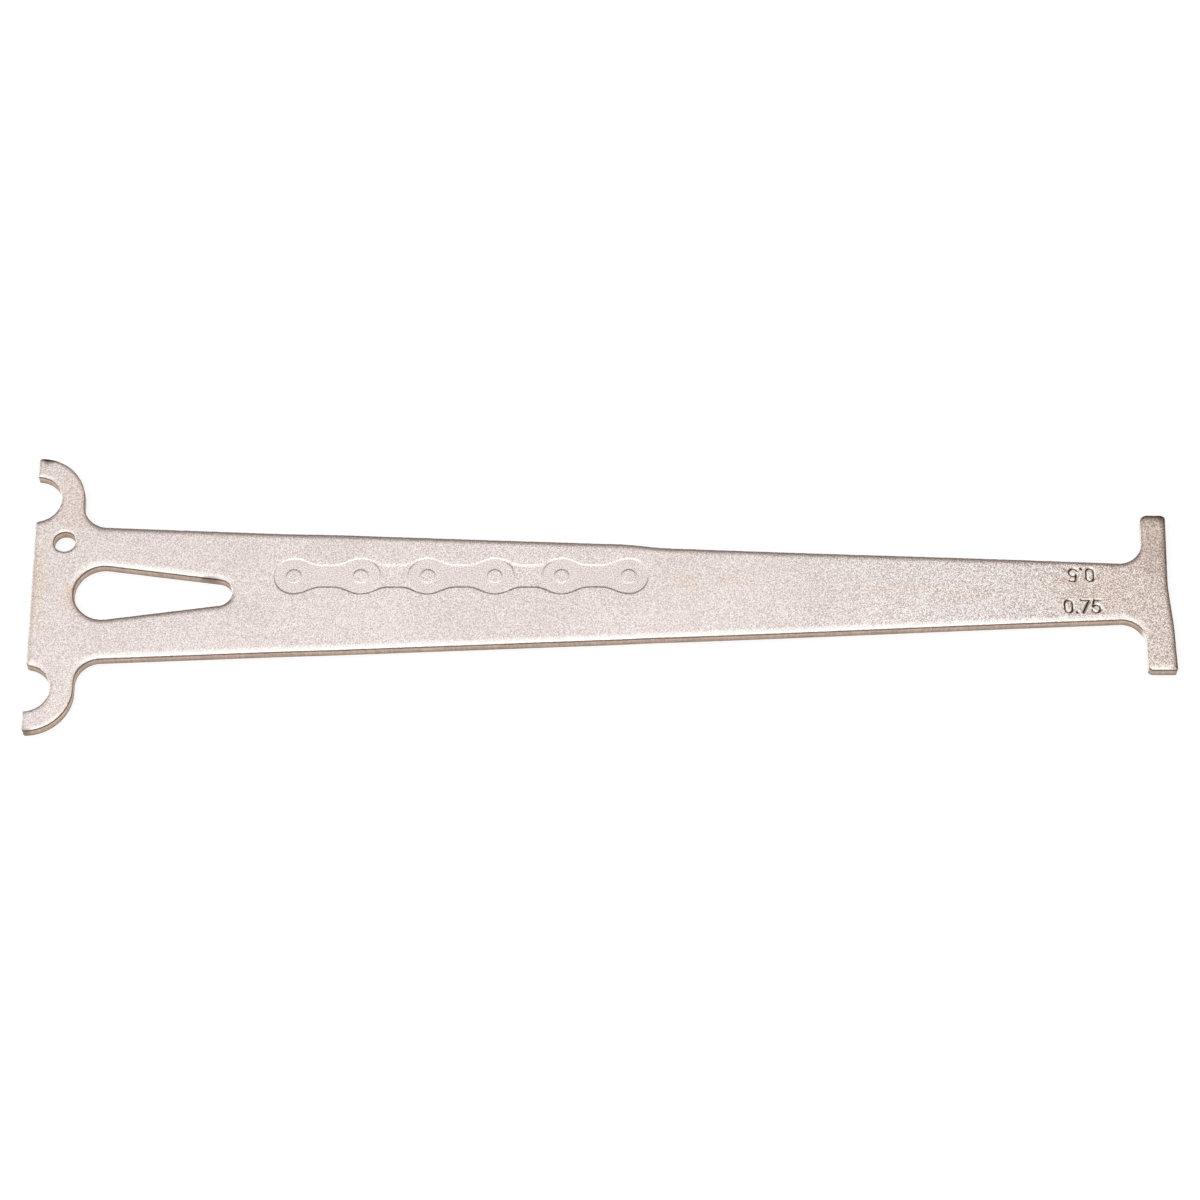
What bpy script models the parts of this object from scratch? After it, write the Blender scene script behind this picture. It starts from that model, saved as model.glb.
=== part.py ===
# Chain wear gauge: one plate stamped from sheet steel, lying flat on its back face.
# Metres, +Z up. +X runs from the two hooks to the T head, and +Y is the side of the 0.5 % tab.
# The sizes below count x from the straight hook end and y from the plate's centreline.
# The finished plate is then moved so that the origin lies under the middle of its outline.

from math import acos, atan, atan2, cos, pi, radians, sin, sqrt, tan

import bmesh
import bpy
import numpy as np


# Chain that the gauge measures
CHAIN_PITCH = 0.0127          # from one pin to the next
PITCHES_SPANNED = 14          # pins between the hooked roller and the roller at the head
ROLLER_DIAMETER = 0.00775
UPPER_TAB_WEAR = 0.005        # stretch at which the +Y tab drops in
LOWER_TAB_WEAR = 0.0075       # stretch at which the -Y tab drops in

# Sheet
PLATE_THICKNESS = 0.0020

# Stamped edge: a rolled front edge, an upright land, a torn band that falls back, a broken back edge
ROLL_WIDTH = 0.0011
ROLL_DEPTH = 0.00026
TEAR_HEIGHT = 0.0009
TEAR_LEAN = 0.00002
BACK_EDGE_BREAK = 0.00003

# Hooks
HOOK_SPACING = 0.0325         # between the centres of the two roller notches
HOOK_RADIUS = 0.00725         # of the hook's round back
HOOK_NECK_WIDTH = 0.0037      # from the notch's bottom to the back
HOOK_TIP_WIDTH = 0.00325      # from the notch's end to the top of the back
HOOK_TIP_CORNER = 0.00055
NOTCH_MOUTH_CORNER = 0.00015  # beside the tip
SHOULDER_CORNER = 0.0005      # beside the straight hook end
NECK_FILLET = 0.0033

# Blade
BLADE_WIDE_END = 0.0235       # width at the straight hook end
BLADE_NARROW_END = 0.0092     # width at the T head

# Stamped field on the blade: the stamp presses the edges out beside it, most where they are near
FIELD_START = 0.0366
FIELD_LENGTH = 0.0590
FIELD_TOP = 0.0061            # from the centreline towards +Y
FIELD_BOTTOM = 0.00085        # from the centreline towards -Y
EDGE_SPREAD = 0.0004          # beside the field's +Y end, where its land is narrowest
SPREAD_FADE = 0.0125          # length over which the spread dies out at either end

# T head
HEAD_SPAN = 0.0265            # from one tab's end to the other's
TAB_WIDTH = 0.0039            # of the +Y tab, where the roller touches it
TAB_CORNER = 0.0006
HEAD_FILLET = 0.0036
ROLLER_TOUCH_Y = 0.0080       # where the roller touches a gauge face, from the centreline
GAUGE_FACE_LEAN = 1.4         # degrees that each gauge face leans out towards its tab's end
RAMP_START_Y = 0.0010         # where the ramp leaves the +Y gauge face
RAMP_LENGTH = 0.0070          # from there to where it meets the -Y gauge face, along Y
RAMP_BEND = 0.0120            # radius of the ramp's two bends

# Hanging hole
HOLE_DIAMETER = 0.0034
HOLE_X = 0.00475
HOLE_Y = 0.00878
HOLE_ROLL_WIDTH = 0.0006      # a small punch draws less metal in than the blanking die
HOLE_ROLL_DEPTH = 0.00016

# Teardrop slot
SLOT_WIDE_X = 0.0112
SLOT_WIDE_RADIUS = 0.0046
SLOT_NARROW_RADIUS = 0.00225
SLOT_CENTRE_DISTANCE = 0.0175

# Steps along each kind of curve
NOTCH_STEPS = 30
HOOK_STEPS = 18
FILLET_STEPS = 9
CORNER_STEPS = 4
BEND_STEPS = 3
SPREAD_STEPS = 20
SLOT_WIDE_STEPS = 32
SLOT_NARROW_STEPS = 16
HOLE_STEPS = 32
ROLL_STEPS = 4
SMALLEST_CORNER = 0.00005     # a sharp corner keeps this much radius on every ring
SMOOTH_ANGLE = 30.0           # degrees

# Finish
NICKEL_COLOUR = (0.72, 0.66, 0.62, 1.0)
NICKEL_ROUGHNESS = 0.45
NICKEL_METALLIC = 0.85

# Sizes that follow from those above
NOTCH_RADIUS = ROLLER_DIAMETER / 2
NOTCH_Y = HOOK_SPACING / 2
HOOK_X = NOTCH_RADIUS + HOOK_NECK_WIDTH - HOOK_RADIUS
HOOK_Y = NOTCH_Y + NOTCH_RADIUS + HOOK_TIP_WIDTH - HOOK_RADIUS
TAB_END_Y = HEAD_SPAN / 2


def gauge_face_x(wear):
    """Where a tab's outer edge lies: against the last roller of a chain stretched by this share."""
    return NOTCH_RADIUS + PITCHES_SPANNED * CHAIN_PITCH * (1 + wear) - ROLLER_DIAMETER


UPPER_FACE_X = gauge_face_x(UPPER_TAB_WEAR)
LOWER_FACE_X = gauge_face_x(LOWER_TAB_WEAR)
HEAD_INNER_X = UPPER_FACE_X - TAB_WIDTH
FACE_LEAN_ANGLE = radians(GAUGE_FACE_LEAN)
FACE_LEAN_SLOPE = tan(FACE_LEAN_ANGLE)
TAPER_SLOPE = (BLADE_WIDE_END - BLADE_NARROW_END) / 2 / HEAD_INNER_X
TAPER_STRETCH = sqrt(1 + TAPER_SLOPE ** 2)


def tab_corner_centre(face_x, radius, inset):
    """Centre of the round between a tab's end and its gauge face, on a ring inside the outline."""
    y = TAB_END_Y - inset - radius
    face_here = face_x + FACE_LEAN_SLOPE * (y - ROLLER_TOUCH_Y)
    return face_here - (inset + radius) / cos(FACE_LEAN_ANGLE), y


PLATE_LENGTH = tab_corner_centre(LOWER_FACE_X, TAB_CORNER, 0)[0] + TAB_CORNER
MIDDLE_X = PLATE_LENGTH / 2


def arc(centre, radius, start, end, steps):
    """Points on a circle from the start angle to the end angle, both included."""
    angles = np.linspace(start, end, steps + 1)
    return np.column_stack((centre[0] + radius * np.cos(angles), centre[1] + radius * np.sin(angles)))


def corner_left(radius, inset):
    """Radius that an outside corner keeps on a ring that lies this far inside the outline."""
    return max(radius - inset, SMALLEST_CORNER)


def notch_corner(radius, inset, side):
    """Centre of the round between the straight hook end and the notch, above (1) or below (-1) it."""
    x = inset + radius
    rise = sqrt((NOTCH_RADIUS + inset + radius) ** 2 - x ** 2)
    return x, NOTCH_Y + side * rise


def hook_points(inset):
    """From the straight hook end round the shoulder, the notch, the tip and the hook's back.

    An arc that starts where the one before it ends leaves out its first point.
    """
    shoulder_radius = corner_left(SHOULDER_CORNER, inset)
    shoulder = notch_corner(shoulder_radius, inset, -1)
    shoulder_angle = atan2(shoulder[1] - NOTCH_Y, shoulder[0])

    mouth_radius = corner_left(NOTCH_MOUTH_CORNER, inset)
    mouth = notch_corner(mouth_radius, inset, 1)
    mouth_angle = atan2(mouth[1] - NOTCH_Y, mouth[0])

    tip_radius = corner_left(HOOK_TIP_CORNER, inset)
    back_radius = HOOK_RADIUS - inset
    tip_x = inset + tip_radius
    tip_y = HOOK_Y + sqrt((back_radius - tip_radius) ** 2 - (tip_x - HOOK_X) ** 2)
    tip_angle = atan2(tip_y - HOOK_Y, tip_x - HOOK_X)

    return [
        arc(shoulder, shoulder_radius, pi, shoulder_angle + pi, CORNER_STEPS),
        arc((0, NOTCH_Y), NOTCH_RADIUS + inset, shoulder_angle, mouth_angle, NOTCH_STEPS)[1:],
        arc(mouth, mouth_radius, mouth_angle - pi, -pi, CORNER_STEPS)[1:],
        arc((tip_x, tip_y), tip_radius, pi, tip_angle, CORNER_STEPS),
        arc((HOOK_X, HOOK_Y), back_radius, tip_angle, 0, HOOK_STEPS)[1:],
    ]


def taper_y(x):
    """Half the blade's width at x, before the stamp spreads it."""
    return BLADE_WIDE_END / 2 - TAPER_SLOPE * x


def smooth_rise(share):
    """0 below 0, 1 above 1, and an S curve between them."""
    share = np.clip(share, 0, 1)
    return share ** 2 * (3 - 2 * share)


def spread_points(inset, field_edge):
    """The blade's edge beside the stamped field, pressed out in inverse ratio to the land left there."""
    field_end = FIELD_START + FIELD_LENGTH
    x = np.linspace(FIELD_START, field_end, SPREAD_STEPS + 1)
    narrowest_land = taper_y(field_end) - FIELD_TOP
    fade = smooth_rise((x - FIELD_START) / SPREAD_FADE) * smooth_rise((field_end - x) / SPREAD_FADE)
    spread = EDGE_SPREAD * fade * narrowest_land / (taper_y(x) - field_edge)
    return np.column_stack((x, taper_y(x) - inset * TAPER_STRETCH + spread))


def blade_points(inset, field_edge):
    """One side of the blade: the neck's fillet, the taper past the stamped field, the head's fillet."""
    taper_normal = -pi / 2 - atan(TAPER_SLOPE)
    neck_x = HOOK_X + HOOK_RADIUS + NECK_FILLET
    neck_y = taper_y(neck_x) + NECK_FILLET * TAPER_STRETCH

    head_x = HEAD_INNER_X - HEAD_FILLET
    head_y = taper_y(head_x) + HEAD_FILLET * TAPER_STRETCH

    return [
        arc((neck_x, neck_y), NECK_FILLET + inset, pi, taper_normal + 2 * pi, FILLET_STEPS),
        spread_points(inset, field_edge),
        arc((head_x, head_y), HEAD_FILLET + inset, taper_normal, 0, FILLET_STEPS),
    ]


def tab_points(inset, face_x):
    """Round the end of one tab, from its inner edge to its gauge face."""
    radius = corner_left(TAB_CORNER, inset)
    face_corner = tab_corner_centre(face_x, radius, inset)
    inner_corner = (HEAD_INNER_X + inset + radius, face_corner[1])
    return [
        arc(inner_corner, radius, pi, pi / 2, CORNER_STEPS),
        arc(face_corner, radius, pi / 2, -FACE_LEAN_ANGLE, CORNER_STEPS),
    ]


def bend_offset(first_angle, second_angle):
    """From where two edges meet to the centre of a bend of radius 1, given their outward normals."""
    first = np.array((cos(first_angle), sin(first_angle)))
    second = np.array((cos(second_angle), sin(second_angle)))
    return (first + second) / (1 + first @ second)


def ramp_points(inset):
    """The ramp that leads from the +Y gauge face out to the -Y gauge face, with a bend at either end."""
    ramp_end_y = RAMP_START_Y - RAMP_LENGTH
    start_x = UPPER_FACE_X + FACE_LEAN_SLOPE * (RAMP_START_Y - ROLLER_TOUCH_Y)
    end_x = LOWER_FACE_X + FACE_LEAN_SLOPE * (-ramp_end_y - ROLLER_TOUCH_Y)
    ramp_angle = atan((end_x - start_x) / RAMP_LENGTH)
    hollow_bend = (start_x, RAMP_START_Y) + RAMP_BEND * bend_offset(-FACE_LEAN_ANGLE, ramp_angle)
    round_bend = (end_x, ramp_end_y) - RAMP_BEND * bend_offset(ramp_angle, FACE_LEAN_ANGLE)
    return [
        arc(hollow_bend, RAMP_BEND + inset, pi - FACE_LEAN_ANGLE, pi + ramp_angle, BEND_STEPS),
        arc(round_bend, RAMP_BEND - inset, ramp_angle, FACE_LEAN_ANGLE, BEND_STEPS),
    ]


def plate_outline(inset):
    """The outer edge, clockwise from the straight hook end, drawn this far inside itself."""
    hook = hook_points(inset)
    upper = hook + blade_points(inset, FIELD_TOP) + tab_points(inset, UPPER_FACE_X)
    lower = hook + blade_points(inset, FIELD_BOTTOM) + tab_points(inset, LOWER_FACE_X)
    lower_mirrored = np.concatenate(lower)[::-1] * (1, -1)
    return np.concatenate(upper + ramp_points(inset) + [lower_mirrored])


def slot_outline(inset):
    """Two circles joined by their common tangents, drawn this far out into the plate."""
    tangent_angle = acos((SLOT_WIDE_RADIUS - SLOT_NARROW_RADIUS) / SLOT_CENTRE_DISTANCE)
    wide = (SLOT_WIDE_X, 0)
    narrow = (SLOT_WIDE_X + SLOT_CENTRE_DISTANCE, 0)
    return np.concatenate([
        arc(wide, SLOT_WIDE_RADIUS + inset, tangent_angle, 2 * pi - tangent_angle, SLOT_WIDE_STEPS),
        arc(narrow, SLOT_NARROW_RADIUS + inset, -tangent_angle, tangent_angle, SLOT_NARROW_STEPS),
    ])


def hole_outline(inset):
    """The hanging hole's circle, drawn this far out into the plate."""
    return arc((HOLE_X, HOLE_Y), HOLE_DIAMETER / 2 + inset, 0, 2 * pi, HOLE_STEPS)[:-1]


def edge_section(roll_width, roll_depth):
    """The stamped edge from back to front: how far it lies inside the outline at which height."""
    section = [
        (TEAR_LEAN + BACK_EDGE_BREAK, 0),
        (TEAR_LEAN, BACK_EDGE_BREAK),
        (0, TEAR_HEIGHT),
    ]
    for angle in np.linspace(0, pi / 2, ROLL_STEPS + 1):
        inset = roll_width * (1 - cos(angle))
        height = PLATE_THICKNESS - roll_depth * (1 - sin(angle))
        section.append((inset, height))
    return section


def add_ring(mesh, points, height):
    """The vertices of one ring and the edges that close it."""
    verts = [mesh.verts.new((x - MIDDLE_X, y, height)) for x, y in points]
    edges = [mesh.edges.new((verts[i - 1], verts[i])) for i in range(len(verts))]
    return verts, edges


def add_wall(mesh, outline, section):
    """The edge section carried round one outline. Returns the edges of its back and front rings."""
    rings = [add_ring(mesh, outline(inset), height) for inset, height in section]
    for (below, _), (above, _) in zip(rings, rings[1:]):
        for i in range(len(below)):
            mesh.faces.new((below[i - 1], below[i], above[i], above[i - 1]))
    return rings[0][1], rings[-1][1]


def build_plate():
    """One closed body: walls round the outer edge, the slot and the hole, and two flat faces."""
    mesh = bmesh.new()
    back_edges = []
    front_edges = []
    blanked = edge_section(ROLL_WIDTH, ROLL_DEPTH)
    pierced = edge_section(HOLE_ROLL_WIDTH, HOLE_ROLL_DEPTH)
    for outline, section in ((plate_outline, blanked), (slot_outline, blanked), (hole_outline, pierced)):
        back, front = add_wall(mesh, outline, section)
        back_edges.extend(back)
        front_edges.extend(front)
    bmesh.ops.triangle_fill(mesh, use_beauty=True, edges=back_edges, normal=(0, 0, -1))
    bmesh.ops.triangle_fill(mesh, use_beauty=True, edges=front_edges, normal=(0, 0, 1))
    bmesh.ops.recalc_face_normals(mesh, faces=mesh.faces)

    plate_mesh = bpy.data.meshes.new("gauge_plate")
    mesh.to_mesh(plate_mesh)
    mesh.free()
    plate_mesh.shade_smooth()
    plate_mesh.set_sharp_from_angle(angle=radians(SMOOTH_ANGLE))
    return plate_mesh


def nickel_plate_material():
    """Satin nickel plating over steel."""
    material = bpy.data.materials.new("nickel_plate")
    material.use_nodes = True
    shader = material.node_tree.nodes["Principled BSDF"]
    shader.inputs["Base Color"].default_value = NICKEL_COLOUR
    shader.inputs["Roughness"].default_value = NICKEL_ROUGHNESS
    shader.inputs["Metallic"].default_value = NICKEL_METALLIC
    return material


def main():
    """Empties the scene and adds the gauge."""
    for old in list(bpy.data.objects):
        bpy.data.objects.remove(old)
    plate_mesh = build_plate()
    plate_mesh.materials.append(nickel_plate_material())
    plate = bpy.data.objects.new("gauge_plate", plate_mesh)
    bpy.context.scene.collection.objects.link(plate)


main()
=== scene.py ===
# Chain wear gauge: the looks of one plate stamped from sheet steel, plated in satin nickel.
# Dictionaries hold millimetres and degrees. Gauge x runs from the straight hook end to the T head,
# gauge y from the centreline towards the 0.5 tab, and worldPoints() turns both into the frame's metres.

import math

import bmesh
import bpy
import numpy as np
from mathutils import Matrix, Vector


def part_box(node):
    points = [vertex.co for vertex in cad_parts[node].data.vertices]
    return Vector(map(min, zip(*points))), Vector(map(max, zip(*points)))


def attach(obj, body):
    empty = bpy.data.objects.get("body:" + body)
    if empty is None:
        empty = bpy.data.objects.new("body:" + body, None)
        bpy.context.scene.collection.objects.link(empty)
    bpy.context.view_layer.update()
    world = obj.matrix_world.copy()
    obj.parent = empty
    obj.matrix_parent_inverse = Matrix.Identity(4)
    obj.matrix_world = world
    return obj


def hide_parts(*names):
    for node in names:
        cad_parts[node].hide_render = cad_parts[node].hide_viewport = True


mm = 0.001

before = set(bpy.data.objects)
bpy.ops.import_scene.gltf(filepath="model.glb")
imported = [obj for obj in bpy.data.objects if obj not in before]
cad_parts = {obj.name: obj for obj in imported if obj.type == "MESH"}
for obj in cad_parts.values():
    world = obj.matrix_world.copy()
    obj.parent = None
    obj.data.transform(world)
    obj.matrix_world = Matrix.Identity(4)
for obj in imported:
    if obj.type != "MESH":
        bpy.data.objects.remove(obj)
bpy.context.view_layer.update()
plateLow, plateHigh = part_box("gauge_plate")
thickness = plateHigh.z / mm
print(f"frame: plate {(plateHigh.x - plateLow.x) / mm:.2f} mm long and {thickness:.2f} mm thick")


# Outline of the blank, as the punch cuts it

blank = dict(
    pitch=12.7, pitchesSpanned=14, rollerDiameter=7.75,
    upperTabWear=0.005, lowerTabWear=0.0075,           # share of stretch at which a tab drops in
    hookSpacing=32.5, hookRadius=7.15, neckWidth=3.58, tipWidth=3.25,
    tipCorner=0.55, mouthCorner=0.15, shoulderCorner=0.8, neckFillet=3.9,
    wideEnd=23.5, narrowEnd=9.4,                       # blade width at the hooks and at the head
    headSpan=26.58, upperTabWidth=3.84, lowerTabWidth=4.4, headFillet=3.6,
    upperTabCorners=(1.15, 0.7),                       # inner corner, corner at the gauge face
    lowerTabCorners=(0.85, 0.35),
    rollerTouchY=8.0, faceLean=1.29,                   # a gauge face leans out towards its tab's end
    rampStartY=1.0, rampLength=7.0, rampBend=12.0,     # ramp from one gauge face out to the other
    holeDiameter=3.4, holeX=4.75, holeY=8.78,
    slotWideX=11.2, slotWideRadius=4.6, slotNarrowRadius=2.25, slotCentreDistance=17.5,
    spread=0.37, spreadFade=12.5,                      # edge pressed out beside the stamped band
    spreadEnd=1.7, spreadEndFade=7.0,                  # it ends past the band, and more quickly
    straightGaps=(3.4, 1.0),                           # kept from the band's end and the head fillet
    drifts=((92, 8, -0.07), (110, 45, 0.17)),          # x, length and amount of each bend off centre
    smallestCorner=0.05,
    notchSteps=60, hookSteps=54, filletSteps=18, cornerSteps=8, bendSteps=6, bandSteps=150,
    straightPoints=60, slotWideSteps=72, slotNarrowSteps=30, holeSteps=48,
    runStep=0.4,                                       # longest step on a straight run
)

band = dict(start=36.6, length=59.0, top=6.1, bottom=0.85)   # the stamped band on the blade


notchRadius = blank["rollerDiameter"] / 2


# x of a gauge face = notch radius + pitches spanned * pitch * (1 + wear) - roller diameter
def faceX(wear):
    span = blank["pitchesSpanned"] * blank["pitch"] * (1 + wear)
    return notchRadius + span - blank["rollerDiameter"]


notchY = blank["hookSpacing"] / 2
hookX = notchRadius + blank["neckWidth"] - blank["hookRadius"]
hookY = notchY + notchRadius + blank["tipWidth"] - blank["hookRadius"]
tabEndY = blank["headSpan"] / 2
upperFaceX = faceX(blank["upperTabWear"])
lowerFaceX = faceX(blank["lowerTabWear"])
upperInnerX = upperFaceX - blank["upperTabWidth"]
lowerInnerX = lowerFaceX - blank["lowerTabWidth"]
faceLean = math.radians(blank["faceLean"])
leanSlope = math.tan(faceLean)
taperSlope = (blank["wideEnd"] - blank["narrowEnd"]) / 2 / upperInnerX
taperStretch = math.sqrt(1 + taperSlope ** 2)
bandEnd = band["start"] + band["length"]


# Gauge x to the frame's x: box corner + gauge x
def worldX(x):
    return plateLow.x + x * mm


# Gauge millimetres to world metres: x from the box corner, y and height as they are
def worldPoints(x, y, height):
    return np.stack((worldX(x), y * mm, height * mm), axis=-1)


# Circle arc: x = cx + r cos(a), y = cy + r sin(a), a in even steps from start to end
def arc(centre, radius, start, end, steps):
    angle = np.linspace(start, end, steps + 1)
    return np.column_stack((centre[0] + radius * np.cos(angle), centre[1] + radius * np.sin(angle)))


# Round corner that is left on a ring drawn inside the outline: radius - inset, never quite 0
def cornerLeft(radius, inset):
    return max(radius - inset, blank["smallestCorner"])


# S curve: 3t^2 - 2t^3 between 0 and 1, flat outside
def smoothRise(share):
    t = np.clip(share, 0, 1)
    return t * t * (3 - 2 * t)


# Half the blade's width: half the wide end - slope * x
def taperY(x):
    return blank["wideEnd"] / 2 - taperSlope * x


# Centre of the round between the straight end and the notch: it touches x = inset and the notch
def mouthCentre(radius, inset, side):
    x = inset + radius
    return x, notchY + side * math.sqrt((notchRadius + inset + radius) ** 2 - x ** 2)


# Shoulder, notch, tip and round back of one hook, each an arc that touches the next
def hookArcs(inset):
    shoulderRadius = cornerLeft(blank["shoulderCorner"], inset)
    shoulder = mouthCentre(shoulderRadius, inset, -1)
    shoulderAngle = math.atan2(shoulder[1] - notchY, shoulder[0])
    mouthRadius = cornerLeft(blank["mouthCorner"], inset)
    mouth = mouthCentre(mouthRadius, inset, 1)
    mouthAngle = math.atan2(mouth[1] - notchY, mouth[0])
    tipRadius = cornerLeft(blank["tipCorner"], inset)
    backRadius = blank["hookRadius"] - inset
    tipX = inset + tipRadius
    tipY = hookY + math.sqrt((backRadius - tipRadius) ** 2 - (tipX - hookX) ** 2)
    tipAngle = math.atan2(tipY - hookY, tipX - hookX)
    corner = blank["cornerSteps"]
    return [
        arc(shoulder, shoulderRadius, math.pi, shoulderAngle + math.pi, corner),
        arc((0, notchY), notchRadius + inset, shoulderAngle, mouthAngle, blank["notchSteps"])[1:],
        arc(mouth, mouthRadius, mouthAngle - math.pi, -math.pi, corner)[1:],
        arc((tipX, tipY), tipRadius, math.pi, tipAngle, corner),
        arc((hookX, hookY), backRadius, tipAngle, 0, blank["hookSteps"])[1:],
    ]


# Blade edge beside the stamped band: taper + spread * fade * narrowest land / land at x
def bandEdge(inset, bandSide):
    spreadEnd = bandEnd + blank["spreadEnd"]
    x = np.linspace(band["start"], spreadEnd, blank["bandSteps"] + 1)
    fade = smoothRise((x - band["start"]) / blank["spreadFade"])
    fade = fade * smoothRise((spreadEnd - x) / blank["spreadEndFade"])
    land = taperY(x) - bandSide
    spread = blank["spread"] * fade * (taperY(bandEnd) - band["top"]) / land
    return np.column_stack((x, taperY(x) - inset * taperStretch + spread))


# Neck fillet, band edge, straight edge and head fillet: both fillets touch the taper line, moved in
# by the inset. Towards the head all of it drifts off centre: y + side * sum of amount * S curve of x
def bladeArcs(inset, bandSide, innerX, side):
    taperNormal = -math.pi / 2 - math.atan(taperSlope)
    neckX = hookX + blank["hookRadius"] + blank["neckFillet"]
    neckY = taperY(neckX) + blank["neckFillet"] * taperStretch
    headX = innerX - blank["headFillet"]
    headY = taperY(headX) + blank["headFillet"] * taperStretch
    steps = blank["filletSteps"]
    afterBand, beforeHead = blank["straightGaps"]
    straight = np.linspace(bandEnd + afterBand, headX - beforeHead, blank["straightPoints"])
    points = np.concatenate([
        arc((neckX, neckY), blank["neckFillet"] + inset, math.pi, taperNormal + 2 * math.pi, steps),
        bandEdge(inset, bandSide),
        np.column_stack((straight, taperY(straight) - inset * taperStretch)),
        arc((headX, headY), blank["headFillet"] + inset, taperNormal, 0, steps),
    ])
    for start, length, amount in blank["drifts"]:
        points[:, 1] += side * amount * smoothRise((points[:, 0] - start) / length)
    return [points]


# Two corner arcs round a tab's end, from its inner edge to its gauge face, which leans: x = slope * y
def tabArcs(inset, gaugeX, innerX, corners):
    inner, outer = (cornerLeft(radius, inset) for radius in corners)
    innerY, outerY = tabEndY - inset - inner, tabEndY - inset - outer
    faceHere = gaugeX + leanSlope * (outerY - blank["rollerTouchY"])
    outerX = faceHere - (inset + outer) / math.cos(faceLean)
    steps = blank["cornerSteps"]
    return [
        arc((innerX + inset + inner, innerY), inner, math.pi, math.pi / 2, steps),
        arc((outerX, outerY), outer, math.pi / 2, -faceLean, steps),
    ]


# From where two edges meet to the centre of a bend of radius 1: (n1 + n2) / (1 + n1 . n2)
def bendOffset(firstAngle, secondAngle):
    first = np.array((math.cos(firstAngle), math.sin(firstAngle)))
    second = np.array((math.cos(secondAngle), math.sin(secondAngle)))
    return (first + second) / (1 + first @ second)


# Two bend arcs of the ramp between the gauge faces, turned by atan(x gained / ramp length)
def rampArcs(inset):
    startY = blank["rampStartY"]
    endY = startY - blank["rampLength"]
    startX = upperFaceX + leanSlope * (startY - blank["rollerTouchY"])
    endX = lowerFaceX + leanSlope * (-endY - blank["rollerTouchY"])
    ramp = math.atan((endX - startX) / blank["rampLength"])
    bend = blank["rampBend"]
    hollow = (startX, startY) + bend * bendOffset(-faceLean, ramp)
    bulge = (endX, endY) - bend * bendOffset(ramp, faceLean)
    steps = blank["bendSteps"]
    return [
        arc(hollow, bend + inset, math.pi - faceLean, math.pi + ramp, steps),
        arc(bulge, bend - inset, ramp, faceLean, steps),
    ]


# Outer edge: the hook, blade and tab arcs of the 0.5 side, the ramp, and the 0.75 side mirrored
def outerEdge(inset):
    hook = hookArcs(inset)
    upperTab = tabArcs(inset, upperFaceX, upperInnerX, blank["upperTabCorners"])
    lowerTab = tabArcs(inset, lowerFaceX, lowerInnerX, blank["lowerTabCorners"])
    upper = hook + bladeArcs(inset, band["top"], upperInnerX, 1) + upperTab
    lower = hook + bladeArcs(inset, band["bottom"], lowerInnerX, -1) + lowerTab
    mirrored = np.concatenate(lower)[::-1] * (1, -1)
    return np.concatenate(upper + rampArcs(inset) + [mirrored])


# Teardrop slot: two circles joined by their common tangents, the inset widens both
def slotEdge(inset):
    wide, narrow = blank["slotWideRadius"], blank["slotNarrowRadius"]
    tangent = math.acos((wide - narrow) / blank["slotCentreDistance"])
    wideX = blank["slotWideX"]
    narrowX = wideX + blank["slotCentreDistance"]
    return np.concatenate([
        arc((wideX, 0), wide + inset, tangent, 2 * math.pi - tangent, blank["slotWideSteps"]),
        arc((narrowX, 0), narrow + inset, -tangent, tangent, blank["slotNarrowSteps"]),
    ])


# Hanging hole: circle of its radius + inset
def holeEdge(inset):
    radius = blank["holeDiameter"] / 2 + inset
    return arc((blank["holeX"], blank["holeY"]), radius, 0, 2 * math.pi, blank["holeSteps"])[:-1]


# Sheared wall round each edge. Its rise counts from 0 at the back edge to 1 where the roll meets
# the face, and the finish reads it.

wall = dict(
    rollWidth=1.1, rollDepth=0.26,                     # quarter ellipse that rounds the front edge
    holeRollWidth=0.6, holeRollDepth=0.16,
    rollAngles=(12, 24, 36, 48, 60, 71, 80, 86.5, 90),
    tearHeight=0.9, backBreak=0.02,
    tearRows=5, landRows=3, tearStep=0.012,            # the torn band starts a little behind the land
    tearRough=0.025, tearSwell=0.9,                    # depth of its tears, share of a half wave
    tearRise=(0.06, 0.40), landRise=(0.42, 0.70),      # rise at the foot and the top of each
    tearWander=0.13, rollWander=0.035,                 # uneven upper lines of the tear and the land
    edgeRipple=0.012,                                  # ripple of the land and the roll
    tearWaves=(9, 1.2, 40), rollWaves=(6, 0.9, 50),    # longest and shortest wave, number of waves
    rippleWaves=(8, 1.0, 50), roughWaves=(3.0, 0.8, 60),
    roughClimb=9,                                      # how quickly the tears change up the wall
    hookSqueeze=0.4, hookShallow=0.4,                  # the roll is narrower and less deep at the hooks
    hookSide=12.4, hookFade=2.0, hookReach=20,         # y from which a hook counts, and x up to which
    probe=0.05,                                        # inset at which a wall's direction is taken
    sharpAngle=40,
    seed=7,
)


# Straight runs cut into even steps: point = a + (b - a) * share, the same shares on every ring
def cutRuns(ring, counts):
    start = np.repeat(np.arange(len(ring)), counts)
    first = np.repeat(np.cumsum(counts) - counts, counts)
    share = (np.arange(counts.sum()) - first) / np.repeat(counts, counts)
    return ring[start] + (np.roll(ring, -1, axis=0)[start] - ring[start]) * share[:, None]


# Closed noise along a path: the sum of cos(2 pi k s / length + climb * height + phase) over all
# waves, divided by sqrt(count / 2)
def edgeNoise(distance, length, height, waves, climb, dice):
    longest, shortest, count = waves
    turns = dice.integers(int(length / longest) + 1, int(length / shortest) + 2, count)
    phase = dice.uniform(0, 2 * math.pi, count)
    lift = dice.uniform(-climb, climb, count)
    angle = 2 * math.pi * turns * distance[..., None] / length + lift * height[..., None] + phase
    return np.cos(angle).sum(axis=-1) / math.sqrt(count / 2)


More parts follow.
